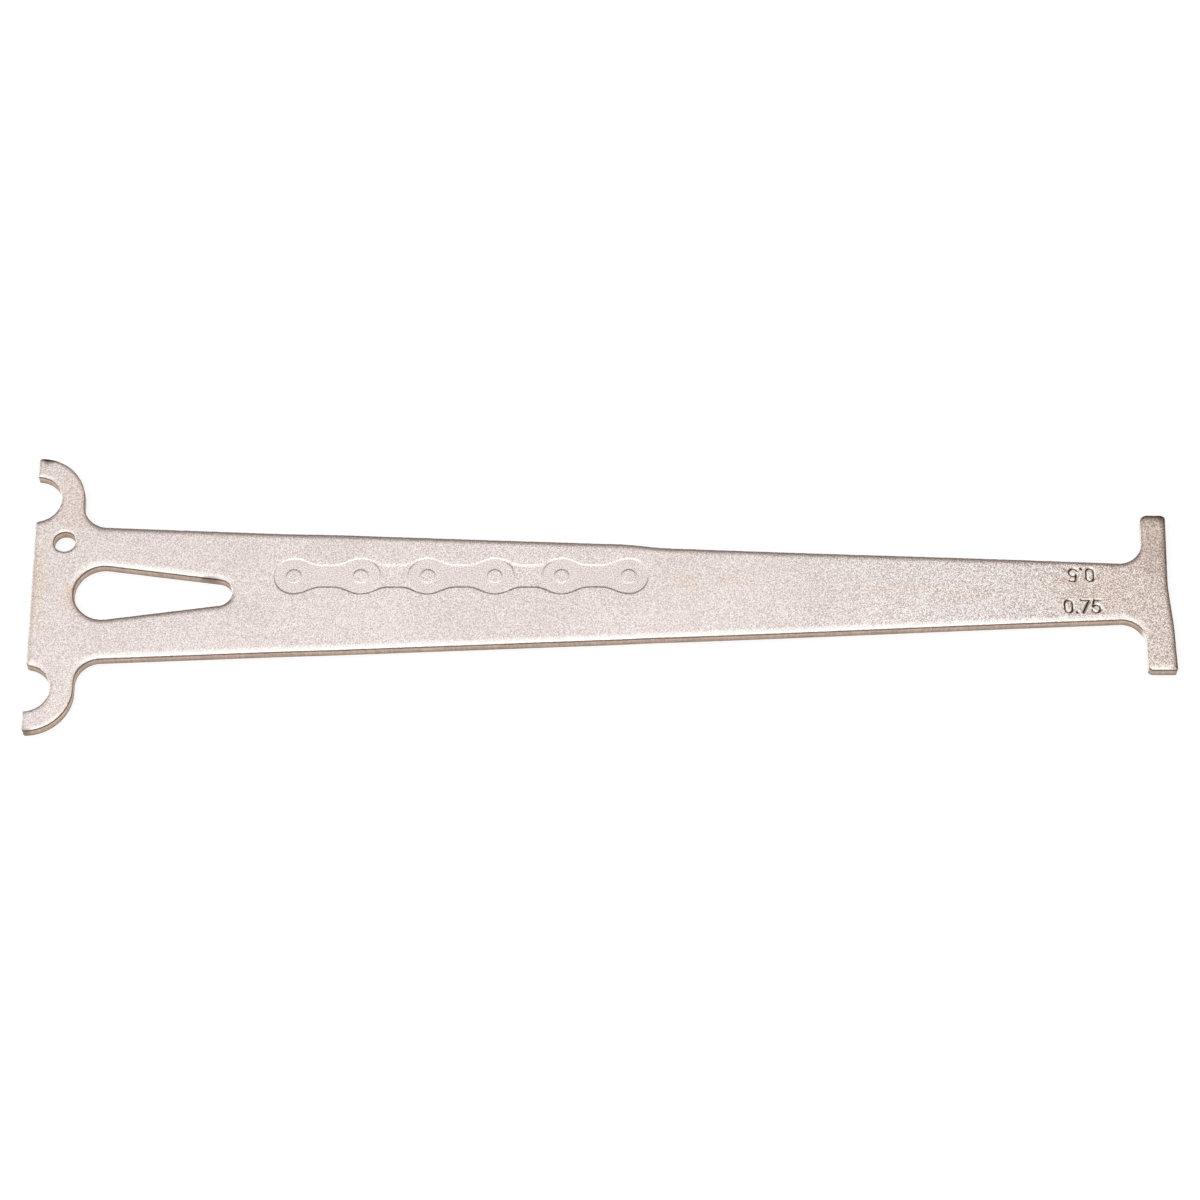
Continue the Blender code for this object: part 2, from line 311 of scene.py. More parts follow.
# 1 along a hook's edge, 0 elsewhere: S curve of how far y lies past the hooks' side
def hookShare(outline):
    past = smoothRise((np.abs(outline[:, 1]) - wall["hookSide"]) / wall["hookFade"])
    return past * (outline[:, 0] < wall["hookReach"])


# How much narrower the roll is: the numbers' squeeze beside the 0.5 + the hooks' squeeze
def rollSqueeze(outline):
    fromMark = np.abs(outline[:, 0] - numbers["marks"]["0.5"]["x"])
    beside = smoothRise((numbers["squeezeReach"] - fromMark) / numbers["squeezeFade"])
    beside = beside * numbers["squeeze"] * (outline[:, 1] > 0)
    return beside + wall["hookSqueeze"] * hookShare(outline)


# Rows of the edge section from the back to the face, each (inset, push inwards, height, rise).
# Torn band: push = step + |noise| * rough * sin(pi * swell * share). Land: push = ripple.
# Roll: inset = w (1 - cos a), height = t - d (1 - sin a), push = ripple cos a - squeeze (1 - cos a)
def sectionRows(outline, rollWidth, rollDepth, dice):
    steps = np.linalg.norm(np.roll(outline, -1, axis=0) - outline, axis=1)
    length = steps.sum()
    distance = np.cumsum(steps) - steps
    flat = np.zeros_like(distance)
    wander = edgeNoise(distance, length, flat, wall["tearWaves"], 0, dice) * wall["tearWander"] / 2
    uneven = edgeNoise(distance, length, flat, wall["rollWaves"], 0, dice) * wall["rollWander"] / 2
    ripple = edgeNoise(distance, length, flat, wall["rippleWaves"], 0, dice)
    ripple = np.abs(ripple) * wall["edgeRipple"]
    squeeze = rollSqueeze(outline)
    landTop = thickness - rollDepth * (1 - wall["hookShallow"] * hookShare(outline)) + uneven
    tearTop = wall["tearHeight"] + wander

    tearFoot, tearRise = wall["tearRise"]
    landFoot, landRise = wall["landRise"]
    rows = [(wall["backBreak"], flat, flat, 0.0), (0.0, flat, flat + wall["backBreak"], tearFoot)]
    for share in np.linspace(0, 1, wall["tearRows"] + 1)[1:]:
        height = wall["backBreak"] + (tearTop - wall["tearStep"] - wall["backBreak"]) * share
        rough = np.abs(edgeNoise(distance, length, height, wall["roughWaves"],
                                 wall["roughClimb"], dice))
        swell = math.sin(math.pi * share * wall["tearSwell"])
        push = wall["tearStep"] + rough * wall["tearRough"] * swell
        rows.append((0.0, push, height, tearFoot + (tearRise - tearFoot) * share))
    for share in np.linspace(0, 1, wall["landRows"]):
        height = tearTop + (landTop - tearTop) * share
        rows.append((0.0, ripple, height, landFoot + (landRise - landFoot) * share))
    for angle in np.radians(wall["rollAngles"]):
        inset = rollWidth * (1 - math.cos(angle))
        push = ripple * math.cos(angle) - squeeze * (1 - math.cos(angle))
        height = thickness - (thickness - landTop) * (1 - math.sin(angle))
        rows.append((inset, push, height, landRise + (1 - landRise) * inset / rollWidth))
    return rows


# The edge section carried round one outline: each ring = edge at its inset + inward * push.
# Each point keeps its rise and the wall's outward direction, level with the plate.
def sweepWall(edge, rollWidth, rollDepth, dice):
    base = edge(0.0)
    gaps = np.linalg.norm(np.roll(base, -1, axis=0) - base, axis=1)
    counts = np.maximum(1, np.ceil(gaps / blank["runStep"]).astype(int))
    outline = cutRuns(base, counts)
    inward = cutRuns(edge(wall["probe"]), counts) - outline
    inward = inward / np.linalg.norm(inward, axis=1)[:, None]
    rows = sectionRows(outline, rollWidth, rollDepth, dice)
    rings = [
        worldPoints(*(cutRuns(edge(inset), counts) + inward * push[:, None]).T, height)
        for inset, push, height, _ in rows
    ]
    rise = np.repeat([row[3] for row in rows], len(outline))
    outward = np.column_stack((-inward, np.zeros(len(outline))))
    index = np.arange(len(rows) * len(outline)).reshape(len(rows), -1)
    after = np.roll(index, -1, axis=1)
    quads = np.stack((index[:-1], after[:-1], after[1:], index[1:]), axis=-1).reshape(-1, 4)
    marked = {"rise": rise, "outward": np.tile(outward, (len(rows), 1)),
              "grooveShade": rise * 0, "grooveHighlight": rise * 0}
    return np.concatenate(rings), quads, marked


# Marks pressed into the face

numbers = dict(
    marks={"0.75": dict(x=161.37, y=-2.47, turn=0), "0.5": dict(x=161.57, y=2.92, turn=180)},
    halfHeight=1.05, groove=0.25, depth=0.18,          # half width and depth of a stroke's groove
    shadeLeft=0.09, shadeDown=0.04,                      # painted shade lies against the left and lower walls
    shadeCore=0.05, shadeFade=0.1,
    highlightRight=0.17, highlightUp=0.1,                      # painted highlight on the right and upper walls
    highlightCore=0.06, highlightFade=0.1,
    zeroHalfWidth=0.57, dotRadius=0.1,
    sevenBar=(-0.62, 0.64), sevenFoot=-0.36,           # ends of its bar, and where its leg ends
    fiveBar=(-0.2, 0.58), fiveStem=(-0.46, 0.08),      # ends of its bar, and where its stem ends
    bowlX=0.02, bowlRadius=0.64,                       # arc of the 5, with the angle of its middle
    bowlMiddle=-5, bowlHalf=144,                       # and the angle from there to each end
    halfAdvance={"0": 0.85, ".": 0.44, "7": 0.82, "5": 0.8},
    gridStep=0.045, margin=0.35, sideMargin=0.1,
    upperLimit=4.21, lowerLimit=-3.8,                  # the patches keep clear of the blade's roll
    squeeze=0.27, squeezeReach=4.6, squeezeFade=1.8,   # the roll is pressed narrower beside the 0.5
)

linkRow = dict(
    x=66.1, y=2.75, links=5, pitch=10.3, plateRadius=3.1, waistRadius=2.0, blend=1.7,
    pinRadius=1.25, wallWidth=0.24,                    # rivet heads, width of each sloping step
    outerDepth=0.10, innerDepth=0.17, pinDepth=0.03,   # how far each lies below the face
    gridStep=0.105, margin=0.45,
)


# Distance to the stretch from a to b: |p - a - (b - a) * clamp(along, 0, 1)|
def toSegment(x, y, a, b):
    dx, dy = b[0] - a[0], b[1] - a[1]
    along = np.clip(((x - a[0]) * dx + (y - a[1]) * dy) / (dx * dx + dy * dy), 0, 1)
    return np.hypot(x - a[0] - along * dx, y - a[1] - along * dy)


# Distance to an arc: |distance to its centre - radius| within its angles, else to its nearer end
def toArc(x, y, centre, radius, middle, half):
    angle = np.arctan2(y - centre[1], x - centre[0]) - middle
    angle = (angle + math.pi) % (2 * math.pi) - math.pi
    ring = np.abs(np.hypot(x - centre[0], y - centre[1]) - radius)
    ends = [middle - half, middle + half]
    points = [(centre[0] + radius * math.cos(a), centre[1] + radius * math.sin(a)) for a in ends]
    nearEnd = np.minimum(*(np.hypot(x - px, y - py) for px, py in points))
    return np.where(np.abs(angle) < half, ring, nearEnd)


# Distance from each grid point to the middle of a digit's strokes, the digit's middle at (0, 0)
def digitDistance(digit, x, y):
    top = numbers["halfHeight"]
    if digit == "0":
        half = numbers["zeroHalfWidth"]
        return np.abs(toSegment(x, y, (0, half - top), (0, top - half)) - half)
    if digit == "7":
        left, right = numbers["sevenBar"]
        return np.minimum(toSegment(x, y, (left, top), (right, top)),
                          toSegment(x, y, (right, top), (numbers["sevenFoot"], -top)))
    if digit == "5":
        left, right = numbers["fiveBar"]
        bar = np.minimum(toSegment(x, y, (right, top), (left, top)),
                         toSegment(x, y, (left, top), numbers["fiveStem"]))
        radius = numbers["bowlRadius"]
        bowl = toArc(x, y, (numbers["bowlX"], radius - top), radius,
                     math.radians(numbers["bowlMiddle"]), math.radians(numbers["bowlHalf"]))
        return np.minimum(bar, bowl)
    return np.maximum(np.hypot(x, y + top) - numbers["dotRadius"], 0)


# Distance from each point to the nearest stroke of a number
def strokeDistance(text, x, y):
    mark = numbers["marks"][text]
    turn = math.radians(mark["turn"])
    u = (x - mark["x"]) * math.cos(turn) + (y - mark["y"]) * math.sin(turn)
    v = (y - mark["y"]) * math.cos(turn) - (x - mark["x"]) * math.sin(turn)
    at = -sum(numbers["halfAdvance"][digit] for digit in text)
    nearest = np.full_like(x, np.inf)
    for digit in text:
        at += numbers["halfAdvance"][digit]
        nearest = np.minimum(nearest, digitDistance(digit, u - at, v))
        at += numbers["halfAdvance"][digit]
    return nearest


# Height of a number: a V groove, -depth * (1 - distance to a stroke / half width), 0 outside it
def numberHeight(text, x, y):
    return -numbers["depth"] * (1 - np.clip(strokeDistance(text, x, y) / numbers["groove"], 0, 1))


# Painted shade in a number: 1 in the core of each stroke, moved left and down, 0 past the core and its
# fade
def numberShade(text, x, y):
    nearest = strokeDistance(text, x + numbers["shadeLeft"], y + numbers["shadeDown"])
    return 1 - smoothRise((nearest - numbers["shadeCore"]) / numbers["shadeFade"])


# Painted highlight beside the strokes of a number: 1 in a core that is moved right and up, 0 past its
# fade
def numberHighlight(text, x, y):
    nearest = strokeDistance(text, x - numbers["highlightRight"], y - numbers["highlightUp"])
    return 1 - smoothRise((nearest - numbers["highlightCore"]) / numbers["highlightFade"])


# Blended lesser of two distances: mix(b, a, h) - k h (1 - h), h = 0.5 + (b - a) / 2k
def blendMin(a, b, width):
    h = np.clip(0.5 + 0.5 * (b - a) / width, 0, 1)
    return b + (a - b) * h - width * h * (1 - h)


# Height of the row of chain links: each plate is two discs blended with a bar, every other plate
# lies on top of its neighbours, and rivet heads stand at the pins
def linkHeight(x, y):
    step, wallWidth = linkRow["pitch"], linkRow["wallWidth"]
    pins = linkRow["x"] + (np.arange(linkRow["links"] + 1) - linkRow["links"] / 2) * step
    v = y - linkRow["y"]
    inside = {"inner": np.zeros_like(x), "outer": np.zeros_like(x)}
    for i in range(linkRow["links"]):
        left = np.hypot(x - pins[i], v) - linkRow["plateRadius"]
        right = np.hypot(x - pins[i + 1], v) - linkRow["plateRadius"]
        bar = toSegment(x, v, (pins[i], 0), (pins[i + 1], 0)) - linkRow["waistRadius"]
        plate = blendMin(np.minimum(left, right), bar, linkRow["blend"])
        layer = "outer" if i % 2 == 0 else "inner"
        inside[layer] = np.maximum(inside[layer], smoothRise(-plate / wallWidth))
    height = -linkRow["innerDepth"] * inside["inner"]
    height = height + inside["outer"] * (-linkRow["outerDepth"] - height)
    nearestPin = np.min(np.abs(x[..., None] - pins), axis=-1)
    head = smoothRise((linkRow["pinRadius"] - np.hypot(nearestPin, v)) / wallWidth)
    return height + head * (-linkRow["pinDepth"] - height)


# Rectangle of face on an even grid: height = thickness + height function, 0 on the border
def pressedPatch(left, right, bottom, top, step, heightAt, shadeAt, highlightAt):
    columns = int(math.ceil((right - left) / step)) + 1
    rowsUp = int(math.ceil((top - bottom) / step)) + 1
    x, y = np.meshgrid(np.linspace(left, right, columns), np.linspace(bottom, top, rowsUp))
    height = heightAt(x, y)
    height[[0, -1], :] = 0
    height[:, [0, -1]] = 0
    index = np.arange(x.size).reshape(x.shape)
    quads = np.stack((index[:-1, :-1], index[:-1, 1:], index[1:, 1:], index[1:, :-1]), axis=-1)
    marked = {"rise": np.ones(x.size), "outward": np.zeros((x.size, 3)),
              "grooveShade": shadeAt(x, y).ravel(), "grooveHighlight": highlightAt(x, y).ravel()}
    return worldPoints(x, y, thickness + height).reshape(-1, 3), quads.reshape(-1, 4), marked


# Patch round a number: half width = the digits' half advances + margin
def numberPatch(text):
    mark = numbers["marks"][text]
    halfWidth = sum(numbers["halfAdvance"][digit] for digit in text) + numbers["sideMargin"]
    halfHeight = numbers["halfHeight"] + numbers["margin"]
    top = min(mark["y"] + halfHeight, numbers["upperLimit"])
    bottom = max(mark["y"] - halfHeight, numbers["lowerLimit"])
    return pressedPatch(mark["x"] - halfWidth, mark["x"] + halfWidth, bottom, top,
                        numbers["gridStep"], lambda x, y: numberHeight(text, x, y),
                        lambda x, y: numberShade(text, x, y), lambda x, y: numberHighlight(text, x, y))


# Patch round the links: half width = half of all pitches + plate radius + margin
def linkPatch():
    halfWidth = linkRow["links"] * linkRow["pitch"] / 2 + linkRow["plateRadius"] + linkRow["margin"]
    halfHeight = linkRow["plateRadius"] + linkRow["margin"]
    return pressedPatch(linkRow["x"] - halfWidth, linkRow["x"] + halfWidth,
                        linkRow["y"] - halfHeight, linkRow["y"] + halfHeight,
                        linkRow["gridStep"], linkHeight, lambda x, y: x * 0, lambda x, y: x * 0)


# Flat metal filled in between the open rims of the back and of the face. Returns the edges that
# are still open.
def fillFaces(mesh):
    shell = bmesh.new()
    shell.from_mesh(mesh)
    middle = plateHigh.z / 2
    rims = [edge for edge in shell.edges if len(edge.link_faces) == 1]
    back = [edge for edge in rims if edge.verts[0].co.z < middle]
    front = [edge for edge in rims if edge.verts[0].co.z > middle]
    bmesh.ops.triangle_fill(shell, use_beauty=True, edges=back, normal=(0, 0, -1))
    bmesh.ops.triangle_fill(shell, use_beauty=True, edges=front, normal=(0, 0, 1))
    bmesh.ops.recalc_face_normals(shell, faces=shell.faces)
    openEdges = sum(1 for edge in shell.edges if len(edge.link_faces) != 2)
    shell.to_mesh(mesh)
    shell.free()
    return openEdges


# One closed mesh: three walls, the pressed patches, and flat metal filled in between them
def stampPlate():
    dice = np.random.default_rng(wall["seed"])
    walls = [
        sweepWall(outerEdge, wall["rollWidth"], wall["rollDepth"], dice),
        sweepWall(slotEdge, wall["rollWidth"], wall["rollDepth"], dice),
        sweepWall(holeEdge, wall["holeRollWidth"], wall["holeRollDepth"], dice),
    ]
    parts = walls + [numberPatch(text) for text in numbers["marks"]] + [linkPatch()]
    first = np.cumsum([0] + [len(part[0]) for part in parts])
    points = np.concatenate([part[0] for part in parts])
    quads = np.concatenate([part[1] + start for part, start in zip(parts, first)])

    mesh = bpy.data.meshes.new("stampedPlate")
    mesh.from_pydata(points.tolist(), [], quads.tolist())
    openEdges = fillFaces(mesh)
    for name, kind, field in (("rise", "FLOAT", "value"), ("grooveShade", "FLOAT", "value"),
                              ("grooveHighlight", "FLOAT", "value"), ("outward", "FLOAT_VECTOR", "vector")):
        values = np.concatenate([part[2][name] for part in parts]).astype(np.float32)
        mesh.attributes.new(name, kind, "POINT").data.foreach_set(field, values.ravel())
    mesh.shade_smooth()
    mesh.set_sharp_from_angle(angle=math.radians(wall["sharpAngle"]))
    plate = bpy.data.objects.new("stampedPlate", mesh)
    bpy.context.scene.collection.objects.link(plate)
    triangles = sum(len(face.vertices) - 2 for face in mesh.polygons)
    print(f"plate: {triangles} triangles, {openEdges} open edges")
    return plate


# Finish

nickel = dict(
    face=(0.79, 0.735, 0.705), head=(0.71, 0.63, 0.585),
    headFrom=145, headTo=176,                          # gauge x over which the tone turns warmer
    grainFrom=95, grainTo=172,                         # gauge x over which the grain grows stronger
    grain=0.16, cloud=14.0, patch=1.6,                 # sizes of the patterns
    darkGrain=(0.5, 0.425, 0.395), lightGrain=(1.5, 1.5, 1.51),
    grainTone=0.68, headGrainTone=1.22, cloudTone=0.05,
    grainContrast=(0.25, 0.75), cloudContrast=(0.3, 0.7),
    roughness=0.36, roughSpread=0.06, roughContrast=(0.2, 0.8), wallRoughness=0.12,
    metallic=1.0, bump=1.0, bumpHeight=0.02,
    # wall and tear: the sheared wall's brown, partly its own rougher finish and partly painted shade
    wall=(0.585, 0.445, 0.36), shadeLine=(0.11, 0.078, 0.058), tear=(0.48, 0.36, 0.285),
    footShade=(0.27, 0.20, 0.16), footShadeShare=0.8,            # painted contact shade on the lowest part of the torn band
    shadeLineShare=(0.85, 1.0),                             # of the painted shade line, full where the wall faces the head, away from the lamps
    highlightColour=(0.97, 0.935, 0.90),                    # painted highlight: near white on the wall that faces the hook end and the side softbox, also used for other painted highlights
    grooveShade=(0.06, 0.022, 0.008), grooveHighlight=0.95,
    nearHighlight=0.3,                                        # painted highlight on the roll that faces the near (-Y) side
    roll=(0.93, 0.84, 0.80),                           # painted shade: the rolled edge is multiplied by this where it isn't lit
    farRimShade=(0.62, 0.56, 0.53),                            # painted shade on the first part of the roll on the far sides
    streak=0.18, streakContrast=(0.7, 1.3), streakSize=0.35,
    streakRise=0.12, bandRun=0.06,                     # how streaks stretch up and bands run along
    patchEdge=0.8,                                     # a stain's reach in half sizes, plus the noise
)

# Where each part of the edge fades in or out: by its rise, or by how far its wall faces along an axis
fades = dict(
    back=(0.02, 0.05), footShade=(0.07, 0.24), torn=(0.40, 0.43), shadeLine=(0.59, 0.64), land=(0.70, 0.71),
    wall=(0.704, 0.718), farRimShade=(0.73, 0.78), roll=(0.76, 0.98), nearHighlight=(0.98, 0.88),
    facingShadeLine=(0.0, 0.6), facingBright=(-0.8, -0.96), facingLit=(0.0, -0.7),
    facingAway=(0.3, 0.8), facingNearHighlight=(-0.3, -0.9),
)

stainColours = dict(                                   # each multiplies what lies under it
    tan=(0.98, 0.85, 0.69), blush=(0.96, 0.86, 0.79),
    smoke=(0.54, 0.47, 0.43), soot=(0.17, 0.145, 0.13),
)

stains = (                                             # gauge x and y, half sizes, colour and share
    dict(x=100.3, y=2.0, size=(2.4, 1.6), colour="tan", share=0.28),
    dict(x=107.5, y=2.0, size=(2.0, 1.2), colour="tan", share=0.22),
    dict(x=134.0, y=0.4, size=(7.0, 1.0), colour="tan", share=0.22),
    dict(x=143.5, y=-0.5, size=(4.0, 1.1), colour="tan", share=0.22),
    dict(x=34.2, y=-3.4, size=(4.5, 3.0), colour="smoke", share=0.07),
    dict(x=5.6, y=-1.0, size=(1.3, 3.4), colour="tan", share=0.30),
    dict(x=1.2, y=1.0, size=(1.2, 8.0), colour="tan", share=0.34),
    dict(x=172.9, y=9.6, size=(2.6, 4.2), colour="tan", share=0.18),
    # the next two darken the upper tab
    dict(x=173.2, y=7.6, size=(3.4, 7.2), colour="smoke", share=0.34),
    dict(x=172.6, y=12.9, size=(3.2, 1.5), colour="smoke", share=0.50),
    dict(x=1.5, y=23.2, size=(1.7, 0.75), colour="soot", share=0.95),
    dict(x=1.3, y=22.7, size=(1.1, 0.8), colour="smoke", share=0.55),
    dict(x=174.4, y=12.8, size=(1.1, 0.8), colour="soot", share=0.6),
    dict(x=173.0, y=13.1, size=(2.6, 0.4), colour="soot", share=0.35),
    dict(x=174.9, y=-13.0, size=(0.7, 0.45), colour="soot", share=0.6),
    dict(x=0.6, y=-23.3, size=(1.0, 0.45), colour="soot", share=0.6),
    dict(x=6.0, y=16.0, size=(5.0, 8.0), colour="blush", share=0.3),
    dict(x=164.0, y=0.5, size=(7.0, 5.0), colour="blush", share=0.35),
    dict(x=2.2, y=-15.5, size=(1.6, 1.6), colour="tan", share=0.25),
    dict(x=27.3, y=2.35, size=(2.2, 0.5), colour="soot", share=0.7),
)


# Node with its settings and inputs given by name, inputN being its input number N. A socket is
# linked, anything else is the input's value.
def addNode(tree, kind, settings=None, **inputs):
    node = tree.nodes.new(kind)
    for name, value in (settings or {}).items():
        setattr(node, name, value)
    for name, value in inputs.items():
        key = int(name[5:]) if name.startswith("input") else name.replace("_", " ")
        if isinstance(value, bpy.types.NodeSocket):
            tree.links.new(value, node.inputs[key])
        else:
            node.inputs[key].default_value = value
    return node


# A field of the mesh, as the finish reads it
def fieldOf(tree, name, output="Fac"):
    return addNode(tree, "ShaderNodeAttribute", {"attribute_name": name}).outputs[output]


# Noise with spots of about the given size
def noiseOf(tree, where, size, detail=2.0):
    noise = addNode(tree, "ShaderNodeTexNoise", Vector=where, Scale=1 / (size * mm), Detail=detail)
    return noise.outputs["Fac"]


# S curve of a value: toLow at low, toHigh at high, flat outside
def spreadTo(tree, value, low, high, toLow=0.0, toHigh=1.0):
    node = addNode(tree, "ShaderNodeMapRange", {"interpolation_type": "SMOOTHSTEP"}, Value=value,
                   From_Min=low, From_Max=high, To_Min=toLow, To_Max=toHigh)
    return node.outputs["Result"]


# first + share * (second - first), or first times second. A colour is a socket or three numbers.
def mixColours(tree, share, first, second, blend="MIX"):
    first, second = (colour if isinstance(colour, bpy.types.NodeSocket) else (*colour, 1)
                     for colour in (first, second))
    node = addNode(tree, "ShaderNodeMix", {"data_type": "RGBA", "blend_type": blend},
                   input0=share, input6=first, input7=second)
    return node.outputs[2]


def maths(tree, operation, first, second):
    node = addNode(tree, "ShaderNodeMath", {"operation": operation}, input0=first, input1=second)
    return node.outputs[0]


def vectorMaths(tree, operation, **inputs):
    return addNode(tree, "ShaderNodeVectorMath", {"operation": operation}, **inputs).outputs


# Flat metal: warmer towards the head, with grain that grows stronger there, and faint clouds
def faceColour(tree, where, grain):
    x = addNode(tree, "ShaderNodeSeparateXYZ", Vector=where).outputs["X"]
    headward = spreadTo(tree, x, worldX(nickel["headFrom"]), worldX(nickel["headTo"]))
    colour = mixColours(tree, headward, nickel["face"], nickel["head"])
    tone = spreadTo(tree, x, worldX(nickel["grainFrom"]), worldX(nickel["grainTo"]),
                    nickel["grainTone"], nickel["headGrainTone"])
    grainShare = maths(tree, "SUBTRACT", spreadTo(tree, grain, *nickel["grainContrast"]), 0.5)
    grainShare = maths(tree, "ADD", maths(tree, "MULTIPLY", grainShare, tone), 0.5)
    grainLight = mixColours(tree, grainShare, nickel["darkGrain"], nickel["lightGrain"])
    cloud = noiseOf(tree, where, nickel["cloud"])
    halfCloud = nickel["cloudTone"] / 2
    cloudLight = spreadTo(tree, cloud, *nickel["cloudContrast"], 1 - halfCloud, 1 + halfCloud)
    colour = mixColours(tree, 1.0, colour, grainLight, "MULTIPLY")
    return mixColours(tree, 1.0, colour, cloudLight, "MULTIPLY")


# Rolled edge over the colour of the face: painted shade where it isn't lit, darkest painted shade where
# it starts on the far sides, and a painted highlight on the near side
def rollColour(tree, colour, rise, facing, bright):
    lit = maths(tree, "MAXIMUM", bright, spreadTo(tree, facing["Y"], *fades["facingLit"]))
    rollShade = maths(tree, "SUBTRACT", spreadTo(tree, rise, *fades["roll"], 1.0, 0.0), lit)
    colour = mixColours(tree, rollShade, colour, nickel["roll"], "MULTIPLY")
    away = maths(tree, "MAXIMUM", spreadTo(tree, facing["X"], *fades["facingAway"]),
                 spreadTo(tree, facing["Y"], *fades["facingAway"]))
    farRimShade = maths(tree, "MULTIPLY", away, spreadTo(tree, rise, *fades["farRimShade"], 1.0, 0.0))
    colour = mixColours(tree, farRimShade, colour, nickel["farRimShade"], "MULTIPLY")
    nearHighlightShare = maths(tree, "MULTIPLY", spreadTo(tree, facing["Y"], *fades["facingNearHighlight"]),
                     spreadTo(tree, rise, *fades["nearHighlight"], 0.0, nickel["nearHighlight"]))
    return mixColours(tree, nearHighlightShare, colour, nickel["highlightColour"])


# Sheared wall: torn band and land with streaks up them and bands along them, a brown that is partly
# painted shade, painted contact shade at the foot, and a painted shade line under the roll. The wall
# that faces the hook end gets a painted highlight.
def wallColour(tree, where, rise, facing, bright):
    run, lift = nickel["bandRun"], nickel["streakRise"]
    upright = addNode(tree, "ShaderNodeMapping", Vector=where, Scale=(1, 1, lift)).outputs[0]
    level = addNode(tree, "ShaderNodeMapping", Vector=where, Scale=(run, run, 1)).outputs[0]
    streaks = maths(tree, "ADD", noiseOf(tree, upright, nickel["streakSize"], 3.0),
                    noiseOf(tree, level, nickel["streakSize"]))
    light = spreadTo(tree, streaks, *nickel["streakContrast"],
                     1 - nickel["streak"], 1 + nickel["streak"])
    torn = spreadTo(tree, rise, *fades["torn"], 1.0, 0.0)
    colour = mixColours(tree, torn, nickel["wall"], nickel["tear"])
    # painted contact shade: darker towards the wall's foot, where it meets the floor
    footShade = spreadTo(tree, rise, *fades["footShade"], nickel["footShadeShare"], 0.0)
    colour = mixColours(tree, footShade, colour, nickel["footShade"])
    colour = mixColours(tree, 1.0, colour, light, "MULTIPLY")
    # painted shade: a dark line under the roll, strongest on walls that face the head
    onLand = spreadTo(tree, rise, *fades["land"], 1.0, 0.0)
    shadeLine = maths(tree, "MULTIPLY", spreadTo(tree, rise, *fades["shadeLine"]), onLand)
    shadeLineShare = spreadTo(tree, facing["X"], *fades["facingShadeLine"], *nickel["shadeLineShare"])
    colour = mixColours(tree, maths(tree, "MULTIPLY", shadeLine, shadeLineShare), colour, nickel["shadeLine"])
    return mixColours(tree, bright, colour, nickel["highlightColour"])


# 1 in the middle of an ellipse, 0 past its edge, with the edge broken up by the noise
def stainShare(tree, where, patchy, stain):
    middle = worldPoints(np.array(stain["x"]), np.array(stain["y"]), np.array(thickness))
    size = (stain["size"][0] * mm, stain["size"][1] * mm, thickness * mm)
    spot = vectorMaths(tree, "SUBTRACT", input0=where, input1=tuple(middle))[0]
    spot = vectorMaths(tree, "DIVIDE", input0=spot, input1=size)[0]
    far = vectorMaths(tree, "LENGTH", input0=spot)["Value"]
    near = maths(tree, "SUBTRACT", maths(tree, "ADD", patchy, nickel["patchEdge"]), far)
    return spreadTo(tree, near, 0.0, 1.0, 0.0, stain["share"])


# Each stain in turn: the colour multiplied by the stain's, as far as its share goes
def addStains(tree, where, colour):
    patchy = noiseOf(tree, where, nickel["patch"], 3.0)
    for stain in stains:
        share = stainShare(tree, where, patchy, stain)
        stained = mixColours(tree, 1.0, colour, stainColours[stain["colour"]], "MULTIPLY")
        colour = mixColours(tree, share, colour, stained)
    return colour


# Satin nickel: the face, the painted highlight and painted shade in its marks, the roll and the wall
# with their painted shade and highlights, and stains over all
def nickelFinish():
    material = bpy.data.materials.new("satinNickel")
    material.use_nodes = True
    tree = material.node_tree
    shader = tree.nodes["Principled BSDF"]
    where = addNode(tree, "ShaderNodeTexCoord").outputs["Object"]
    rise = fieldOf(tree, "rise")
    outward = fieldOf(tree, "outward", "Vector")
    facing = addNode(tree, "ShaderNodeSeparateXYZ", Vector=outward).outputs
    grain = noiseOf(tree, where, nickel["grain"], 1.0)

    colour = faceColour(tree, where, grain)
    grooveHighlight = maths(tree, "MULTIPLY", fieldOf(tree, "grooveHighlight"), nickel["grooveHighlight"])
    colour = mixColours(tree, grooveHighlight, colour, nickel["highlightColour"])
    colour = mixColours(tree, fieldOf(tree, "grooveShade"), colour, nickel["grooveShade"])
    # painted highlight share: walls and rolls that face the hook end, towards the side softbox
    bright = spreadTo(tree, facing["X"], *fades["facingBright"])
    colour = rollColour(tree, colour, rise, facing, bright)
    onWall = maths(tree, "MULTIPLY", spreadTo(tree, rise, *fades["back"]),
                   spreadTo(tree, rise, *fades["wall"], 1.0, 0.0))
    colour = mixColours(tree, onWall, colour, wallColour(tree, where, rise, facing, bright))
    colour = addStains(tree, where, colour)

    smooth = nickel["roughness"] - nickel["roughSpread"]
    coarse = nickel["roughness"] + nickel["roughSpread"]
    roughness = spreadTo(tree, grain, *nickel["roughContrast"], smooth, coarse)
    onWall = maths(tree, "MULTIPLY", onWall, nickel["wallRoughness"])
    bump = addNode(tree, "ShaderNodeBump", Strength=nickel["bump"],
                   Distance=nickel["bumpHeight"] * mm, Height=grain)
    tree.links.new(colour, shader.inputs["Base Color"])
    tree.links.new(maths(tree, "ADD", roughness, onWall), shader.inputs["Roughness"])
    tree.links.new(bump.outputs["Normal"], shader.inputs["Normal"])
    shader.inputs["Metallic"].default_value = nickel["metallic"]
    return material


plate = stampPlate()
plate.data.materials.append(nickelFinish())
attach(plate, "root")
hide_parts("gauge_plate")
print("plate: placed on body root")


# Studio

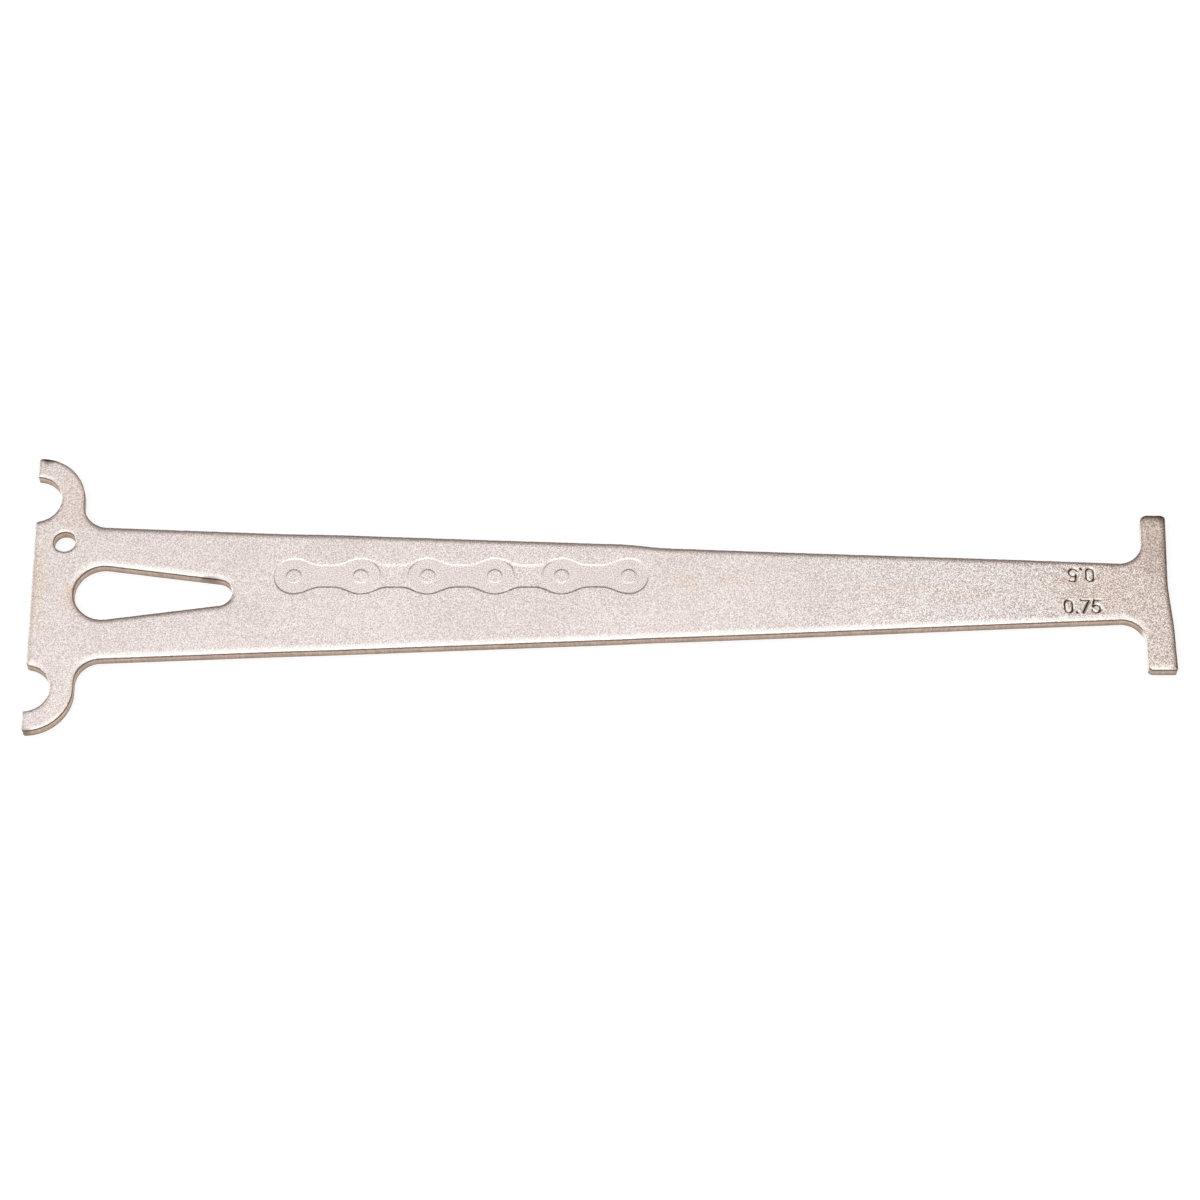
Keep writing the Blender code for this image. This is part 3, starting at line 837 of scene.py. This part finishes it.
studio = dict(
    floorSize=8000, floorColour=(0.4, 0.4, 0.4), floorLift=0.72, floorDrop=0.02,
    zenith=0.25, horizon=0.2, zenithFrom=0.9,
    softboxes=(                                        # glow is what the metal mirrors
        dict(name="ceilingSoftbox", centre=(10, -70, 850), size=(1060, 1460),
             facing=(0, 0, -1), glow=0.97),
        dict(name="frontSoftbox", centre=(-150, -640, 845), size=(1100, 1180),
             facing=(0, 0, -1), glow=0.6),
        dict(name="sideSoftbox", centre=(-900, 300, 410), size=(700, 1300),
             facing=(1, 0, 0), glow=1.4),
    ),
)

shot = dict(
    elevation=63.308, azimuth=0.203, roll=-0.2153,
    target=(87.437, -0.4, 0.0),                        # gauge x, y and height
    distance=637.96, lens=124.40, sensor=36.0, clip=(10, 50000),
)


# Square floor under the plate. It glows for the camera and in the metal, so that it looks pale there
def layFloor():
    half = studio["floorSize"] / 2 * mm
    corners = [(-half, -half, 0), (half, -half, 0), (half, half, 0), (-half, half, 0)]
    mesh = bpy.data.meshes.new("floor")
    mesh.from_pydata(corners, [], [(0, 1, 2, 3)])
    floor = bpy.data.objects.new("floor", mesh)
    floor.location.z = -studio["floorDrop"] * mm
    bpy.context.scene.collection.objects.link(floor)
    material = bpy.data.materials.new("paleFloor")
    material.use_nodes = True
    tree = material.node_tree
    shader = tree.nodes["Principled BSDF"]
    shader.inputs["Base Color"].default_value = (*studio["floorColour"], 1)
    shader.inputs["Roughness"].default_value = 1.0
    shader.inputs["Specular IOR Level"].default_value = 0.0
    path = addNode(tree, "ShaderNodeLightPath")
    seen = maths(tree, "MAXIMUM", path.outputs["Is Camera Ray"], path.outputs["Is Glossy Ray"])
    seen = maths(tree, "MAXIMUM", seen, path.outputs["Is Transmission Ray"])
    glow = maths(tree, "MULTIPLY", seen, studio["floorLift"])
    shader.inputs["Emission Color"].default_value = (1, 1, 1, 1)
    tree.links.new(glow, shader.inputs["Emission Strength"])
    mesh.materials.append(material)


# Direction at an azimuth and elevation: azimuth 0 is the -Y side, 90 the +X side
def direction(azimuth, elevation):
    a, e = math.radians(azimuth), math.radians(elevation)
    return Vector((math.sin(a) * math.cos(e), -math.cos(a) * math.cos(e), math.sin(e)))


# Room that is a little brighter overhead, and one area lamp for each softbox
def hangLights():
    world = bpy.data.worlds.new("softRoom")
    bpy.context.scene.world = world
    world.use_nodes = True
    tree = world.node_tree
    where = addNode(tree, "ShaderNodeTexCoord").outputs["Generated"]
    up = addNode(tree, "ShaderNodeSeparateXYZ", Vector=where).outputs["Z"]
    strength = spreadTo(tree, up, 0.0, studio["zenithFrom"], studio["horizon"], studio["zenith"])
    tree.links.new(strength, tree.nodes["Background"].inputs["Strength"])
    tree.nodes["Background"].inputs["Color"].default_value = (1, 1, 1, 1)
    for box in studio["softboxes"]:
        lamp = bpy.data.lights.new(box["name"], "AREA")
        lamp.shape = "RECTANGLE"
        lamp.size, lamp.size_y = (side * mm for side in box["size"])
        lamp.energy = box["glow"] * math.pi * lamp.size * lamp.size_y   # power of an even glow
        holder = bpy.data.objects.new(box["name"], lamp)
        turn = Vector(box["facing"]).to_track_quat("-Z", "Y").to_matrix().to_4x4()
        holder.matrix_world = Matrix.Translation(Vector(box["centre"]) * mm) @ turn
        bpy.context.scene.collection.objects.link(holder)


# Camera on a sphere round its target: place = target + back * distance, then rolled about back
def setCamera():
    lens = bpy.data.cameras.new("photoCamera")
    lens.lens = shot["lens"]
    lens.sensor_width = shot["sensor"]
    lens.clip_start, lens.clip_end = (distance * mm for distance in shot["clip"])
    camera = bpy.data.objects.new("photoCamera", lens)
    back = direction(shot["azimuth"], shot["elevation"])
    azimuth, roll = math.radians(shot["azimuth"]), math.radians(shot["roll"])
    right = Vector((math.cos(azimuth), math.sin(azimuth), 0))
    up = back.cross(right)
    rolledRight = right * math.cos(roll) + up * math.sin(roll)
    rolledUp = up * math.cos(roll) - right * math.sin(roll)
    turn = Matrix((rolledRight, rolledUp, back)).transposed().to_4x4()
    place = Vector(worldPoints(*shot["target"])) + back * shot["distance"] * mm
    camera.matrix_world = Matrix.Translation(place) @ turn
    bpy.context.scene.collection.objects.link(camera)
    bpy.context.scene.camera = camera


layFloor()
hangLights()
setCamera()
bpy.context.scene.view_settings.view_transform = "Standard"
print("studio: floor, lights and camera are up")
